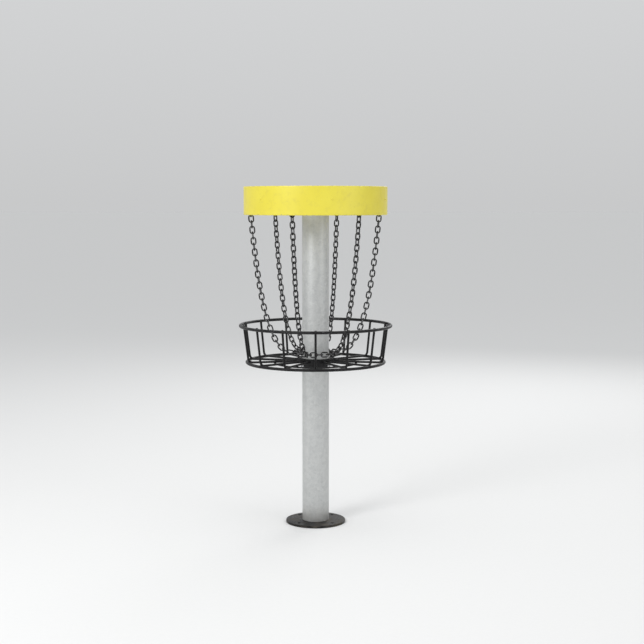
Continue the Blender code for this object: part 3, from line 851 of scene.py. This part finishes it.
def arm_shape(turn):
    """Flat bar on edge, bent sideways into the tab that is riveted to the band."""
    low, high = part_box("support_arm_1")
    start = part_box("top_hub")[1].x + GAP
    half = ARM_THICKNESS / 2
    corner_x = ARM_REACH - ARM_BEND
    corner_y = ARM_BEND - half
    tab_end = ARM_TAB - half
    turns = np.linspace(-math.pi / 2, 0, 9)
    outline = [(start, -half)]
    outline += [(corner_x + ARM_BEND * math.cos(a), corner_y + ARM_BEND * math.sin(a)) for a in turns]
    outline += [(ARM_REACH, tab_end), (ARM_REACH - ARM_THICKNESS, tab_end)]
    small = ARM_BEND - ARM_THICKNESS
    outline += [(corner_x + small * math.cos(a), corner_y + small * math.sin(a)) for a in turns[::-1]]
    outline += [(start, half)]
    bm = bmesh.new()
    bm.faces.new([bm.verts.new((x, y, low.z)) for x, y in outline])
    return placed(plate(bm, high.z - low.z, ARM_EDGE, segments=2), turn)


def build_top(looks):
    build_band(looks)
    band_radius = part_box("top_band")[1].x
    hub_low, hub_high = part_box("top_hub")
    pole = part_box("pole")[1].x
    hub = sleeve(hub_high.x, pole + GAP, hub_low.z, hub_high.z)
    piece("hub_sleeve", hub, looks["zinc"], nodes=["top_hub"])
    add_screws("hub_screw", 3, hub_high.x, hub_high.x - pole - GAP, looks)
    hoop("chain_hanger_ring", "hanger_hoop", looks["zinc"], looks["weld_zinc"], 205)

    seams = []
    for number in range(1, ARM_COUNT + 1):
        heading = ARM_HEADING + ARM_SPACING * (number - 1)
        turn = heading_matrix(heading)
        node = f"support_arm_{number}"
        piece(f"arm_bar_{number}", arm_shape(turn), looks["zinc"], nodes=[node])
        rivet_node = f"band_rivet_{number}"
        place = outward_matrix(heading, band_radius, middle(rivet_node).z, BAND_RIVET_SIDEWAYS)
        rivet = rivet_shape(place, band_radius - ARM_REACH + ARM_THICKNESS)
        piece(f"{rivet_node}_dome_head", rivet, looks["yellow"], nodes=[rivet_node])
        for side in (-1, 1):
            foot, along = arm_weld_lines(side, hub_high.x)
            seams.append(placed(bead(foot, 0.0016, (1, 0, 0), seed=f"arm{number}{side}"), turn))
            seams.append(placed(bead(along, 0.0014, (0, 0, 1), seed=f"ring{number}{side}"), turn))
    piece("top_frame_welds", joined(seams), looks["weld_zinc"])


def arm_weld_lines(side, hub_radius):
    """Lines of the welds on one side of an arm: up the hub, and along the arm over the hanger ring."""
    low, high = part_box("support_arm_1")
    ring_radius, _, _ = hoop_sizes("chain_hanger_ring")
    heights = np.linspace(low.z + 0.002, high.z - 0.004, 40)
    foot = [(hub_radius + 0.0008, side * 0.0031, z) for z in heights]
    reaches = np.linspace(ring_radius - 0.005, ring_radius + 0.005, 10)
    along = [(x, side * 0.0026, low.z - 0.0006) for x in reaches]
    return foot, along


# --- chain ------------------------------------------------------------------------------


def link_template():
    """One welded link in its own plane, long way along X, and how worn each of its points is."""
    bend = LINK_INSIDE_WIDTH / 2 + LINK_WIRE
    half = LINK_PITCH / 2 + LINK_WIRE - bend
    right = np.linspace(-math.pi / 2, math.pi / 2, LINK_ARC_STEPS)
    line = [(half + bend * math.cos(a), bend * math.sin(a), 0.0) for a in right]
    weld = [half * share for share in (0.45, 0.2, 0.0, -0.2, -0.45)]
    line += [(x, bend, 0.0) for x in weld]
    line += [(-half - bend * math.cos(a), bend * math.sin(a), 0.0) for a in right[::-1]]
    swell = {0.0: 1.11, 0.2: 1.07, 0.45: 1.0}
    radii = [LINK_WIRE] * LINK_ARC_STEPS
    radii += [LINK_WIRE * swell[abs(round(x / half, 2))] for x in weld]
    radii += [LINK_WIRE] * LINK_ARC_STEPS
    verts, faces = rod(line, radii, (0, 0, 1), LINK_SIDES, closed=True)
    points = np.array(verts)
    reach = np.abs(points[:, 0])
    inside = bend - np.hypot(reach - half, points[:, 1])
    at_end = (reach > 0.9 * half) * np.exp(-((points[:, 1] / 0.0075) ** 2))
    wear = np.clip(inside / LINK_WIRE + 0.4, 0, 1) * at_end
    wear += 0.55 * np.clip((np.hypot(points[:, 1], points[:, 2]) - bend) / LINK_WIRE - 0.3, 0, 1)
    return points, faces, wear


def links_between(joints, wide_axes):
    """A run of links from joint to joint, with the wide direction given for each. Returns shape and wear."""
    points, faces, wear = link_template()
    shapes = []
    for start, end, wide in zip(joints, joints[1:], wide_axes):
        along = (end - start).normalized()
        wide = (wide - along * wide.dot(along)).normalized()
        grid = np.array([along, wide, along.cross(wide)])
        shapes.append(((points @ grid + np.array((start + end) / 2)).tolist(), faces))
    return joined(shapes), np.tile(wear, len(shapes))


def hook_drop():
    _, _, ring_rod = hoop_sizes("chain_hanger_ring")
    slack = HOOK_UPPER - HOOK_WIRE - ring_rod - GAP
    return slack + HOOK_UPPER + 2 * HOOK_LOWER - HOOK_WIRE


def hanging_line(pivot, end):
    """Function from a distance below the pivot, along the hanging chain, to the point there."""
    span = math.hypot(pivot.x, pivot.y) - math.hypot(end.x, end.y)
    drop = pivot.z - end.z
    inwards = Vector((end.x - pivot.x, end.y - pivot.y, 0)).normalized()
    length = hook_drop() + STRAND_LINKS * LINK_PITCH
    wanted = math.sqrt(length ** 2 - drop ** 2)
    low, high = 0.02, 1.0
    for _ in range(60):
        size = (low + high) / 2
        if 2 * size * math.sinh(span / (2 * size)) > wanted:
            low = size
        else:
            high = size
    first = math.asinh(drop / wanted) - span / (2 * size)

    def point(below):
        parameter = math.asinh(math.sinh(first) + (length - below) / size)
        out = size * (parameter - first)
        up = size * (math.cosh(parameter) - math.cosh(first))
        return end - inwards * out + Vector((0, 0, up))

    return point


def hook_shape(pivot, first_contact, outwards):
    """S-hook in the plane of its strand."""
    _, _, ring_rod = hoop_sizes("chain_hanger_ring")
    slack = HOOK_UPPER - HOOK_WIRE - ring_rod - GAP
    lower_centre = -slack - HOOK_UPPER - HOOK_LOWER
    upper = arc(0, -slack, HOOK_UPPER, HOOK_UPPER_OPENING - math.pi / 2, 1.5 * math.pi, 30)
    lower = arc(0, lower_centre, HOOK_LOWER, math.pi / 2, HOOK_LOWER_OPENING - 1.5 * math.pi, 30)
    shape = rod(upper + lower[1:], HOOK_WIRE, (0, 1, 0), 14, dome=0.5)
    down = (first_contact - pivot).normalized()
    across = Vector((0, 0, 1)).cross(outwards)
    side = across.cross(-down)
    grid = Matrix((side, across, -down)).transposed().to_4x4()
    return placed(shape, Matrix.Translation(pivot) @ grid)


def build_chain(looks):
    collector_z = middle("chain_collector").z
    swings = [j for j in frame["joints"] if j["child"].startswith("chain_")]
    for joint in swings:
        body = joint["child"]
        number = int(body.split("_")[1])
        pivot = Vector(joint["pos_m"])
        axis = Vector(joint["axis"])
        end = pivot - axis * ((pivot.z - collector_z) / axis.z)
        outwards = Vector((pivot.x, pivot.y, 0)).normalized()
        across = Vector((0, 0, 1)).cross(outwards)
        point = hanging_line(pivot, end)
        joints = [point(hook_drop() + i * LINK_PITCH) for i in range(STRAND_LINKS + 1)]
        dice = random.Random(100 + number)
        wides = []
        for i, (start, stop) in enumerate(zip(joints, joints[1:])):
            along = (stop - start).normalized()
            free = math.sin(math.pi * i / (STRAND_LINKS - 1))
            roll = free * (STRAND_TWIST + dice.uniform(-LINK_WOBBLE, LINK_WOBBLE))
            if i % 2:
                roll += math.pi / 2
            wides.append(Matrix.Rotation(roll, 3, along) @ across)
        shape, wear = links_between(joints, wides)
        piece(
            f"chain_links_{number}", shape, looks["chain"], body, [f"chain_strand_{number}"],
            {"wear": wear},
        )
        hook = hook_shape(pivot, joints[0], outwards)
        piece(f"hook_{number}_bent_wire", hook, looks["hook"], body, [f"s_hook_{number}"])
    build_collector(looks, [Vector(j["pos_m"]) for j in swings], collector_z)


def build_collector(looks, pivots, height):
    """Loop of links round the pole: one short side under each strand, longer sides between them."""
    step = math.radians(30)
    short = LINK_PITCH
    long = SIDE_LINKS * LINK_PITCH
    to_short = (long + short * math.cos(step)) / (2 * math.sin(step))
    joints = []
    wides = []
    for pivot in pivots:
        out = Vector((pivot.x, pivot.y, 0)).normalized()
        next_out = Matrix.Rotation(math.pi / 3, 3, "Z") @ out
        corner = out * to_short + Vector((0, 0, height))
        next_corner = next_out * to_short + Vector((0, 0, height))
        tangent = Vector((0, 0, 1)).cross(out)
        next_tangent = Vector((0, 0, 1)).cross(next_out)
        start = corner + tangent * short / 2
        stop = next_corner - next_tangent * short / 2
        joints.append(corner - tangent * short / 2)
        wides.append(out)
        middle_out = (out + next_out).normalized()
        for i in range(SIDE_LINKS):
            joints.append(start.lerp(stop, i / SIDE_LINKS))
            wides.append(Vector((0, 0, 1)) if i % 2 == 0 else middle_out)
    joints.append(joints[0])
    shape, wear = links_between(joints, wides)
    nodes = ["chain_collector"]
    piece("collector_links", shape, looks["chain"], nodes=nodes, values={"wear": wear})


# --- stage ------------------------------------------------------------------------------


def build_stage():
    floor_mesh = bpy.data.meshes.new("studio_floor")
    reach = 200.0
    corners = [(-reach, -reach, 0), (reach, -reach, 0), (reach, reach, 0), (-reach, reach, 0)]
    floor_mesh.from_pydata(corners, [], [(0, 1, 2, 3)])
    floor = bpy.data.objects.new("studio_floor", floor_mesh)
    bpy.context.collection.objects.link(floor)
    look = Look("pale_floor", roughness=0.9)
    tone = look.range(look.noise(60.0, 3.0), 0.3, 0.7)
    look.feed("Base Color", look.mix(tone, (0.755, 0.755, 0.75), (0.765, 0.765, 0.76)))
    floor_mesh.materials.append(look.material)

    build_world()
    lights = (
        ("key", (-3.4, -4.0, 3.6), 2.4, 135),
        ("fill", (4.4, -3.2, 2.2), 3.0, 30),
        ("back", (1.8, 4.4, 3.6), 3.0, 60),
        ("overhead", (0.0, 0.0, 5.0), 2.5, 40),
    )
    target = Vector((0, 0, 0.85))
    for name, place, size, power in lights:
        data = bpy.data.lights.new(name, "AREA")
        data.shape = "DISK"
        data.size = size
        data.energy = power
        lamp = bpy.data.objects.new(name, data)
        lamp.location = place
        lamp.rotation_euler = (target - Vector(place)).to_track_quat("-Z", "Y").to_euler()
        bpy.context.collection.objects.link(lamp)


def build_world():
    """Pale surroundings that meet the floor without a line and grow brighter overhead."""
    world = bpy.data.worlds.new("soft_studio")
    world.use_nodes = True
    tree = world.node_tree
    background = tree.nodes["Background"]
    direction = tree.nodes.new("ShaderNodeTexCoord")
    split = tree.nodes.new("ShaderNodeSeparateXYZ")
    rise = tree.nodes.new("ShaderNodeMapRange")
    rise.inputs["From Max"].default_value = 0.4
    blend = tree.nodes.new("ShaderNodeMix")
    blend.data_type = "RGBA"
    blend.inputs[6].default_value = (0.578, 0.583, 0.588, 1.0)
    blend.inputs[7].default_value = (0.75, 0.76, 0.77, 1.0)
    tree.links.new(direction.outputs["Generated"], split.inputs["Vector"])
    tree.links.new(split.outputs["Z"], rise.inputs["Value"])
    tree.links.new(rise.outputs["Result"], blend.inputs["Factor"])
    tree.links.new(blend.outputs[2], background.inputs["Color"])
    bpy.context.scene.world = world


def build_camera():
    data = bpy.data.cameras.new("camera")
    data.lens = LENS
    data.sensor_width = 36.0
    camera = bpy.data.objects.new("camera", data)
    camera.location = EYE
    camera.rotation_euler = (math.pi / 2 - LOOK_DOWN, 0, -LOOK_RIGHT)
    bpy.context.collection.objects.link(camera)
    bpy.context.scene.camera = camera


def main():
    bpy.context.scene.view_settings.view_transform = "Standard"
    build_camera()
    build_stage()
    rim_height = hoop_sizes("basket_rim")[1]
    looks = {
        "yellow": yellow_paint(),
        "zinc": galvanised_steel(),
        "rim": black_powder_coat("black_coated_wire_rubbed", rim_height),
        "wire": black_powder_coat("black_coated_wire"),
        "base": black_powder_coat("black_coated_plate", soiled=True),
        "chain": chain_steel(),
        "hook": weld_metal("hook_steel", (0.035, 0.035, 0.036), (0.12, 0.12, 0.12), 0.8),
        "screw": screw_steel(),
        "plastic": black_plastic(),
        "weld_black": weld_metal("coated_weld", (0.006, 0.006, 0.007), (0.018, 0.018, 0.018), 0.1, 0.2),
        "weld_zinc": weld_metal("zinc_coated_weld", (0.36, 0.37, 0.37), (0.55, 0.55, 0.54), 0.5),
    }
    build_base(looks)
    build_basket(looks)
    build_top(looks)
    build_chain(looks)


main()
